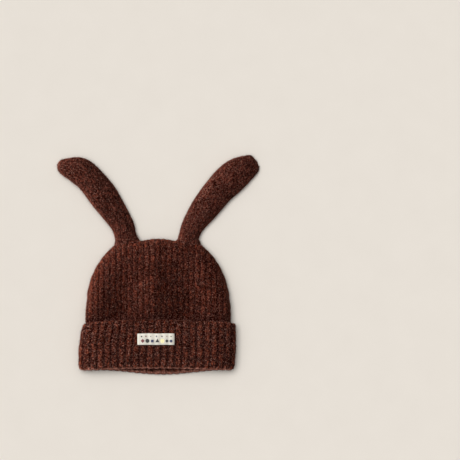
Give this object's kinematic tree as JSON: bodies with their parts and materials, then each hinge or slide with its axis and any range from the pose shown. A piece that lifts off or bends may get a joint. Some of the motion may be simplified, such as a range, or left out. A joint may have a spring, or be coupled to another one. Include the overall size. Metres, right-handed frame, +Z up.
{
  "type": "baby hat with ears",
  "caption": "Baby's rib-knitted hat lying flat, with a turned-up cuff, a small woven label and two long stuffed ears sewn into its crown.",
  "frame": {"origin": "middle of the turned-up cuff's back, on the surface that the hat lies on", "axes": "+X to the right as the hat's front is looked at, +Y from the hem towards the ears, +Z up from the surface and out of the hat's front"},
  "size_m": [0.2309, 0.2517, 0.0271],
  "materials": {
    "crown_knit": "brushed dark brown wool in a fine rib knit",
    "cuff_knit": "brushed dark brown wool in a wide rib knit",
    "ear_knit": "brushed dark brown wool knit over soft stuffing",
    "label_cloth": "cream woven tape with small plain coloured motifs"
  },
  "bodies": {
    "root": {"crown": "crown_knit", "cuff": "cuff_knit", "ear_left": "ear_knit", "ear_right": "ear_knit", "label": "label_cloth"}
  },
  "joints": []
}
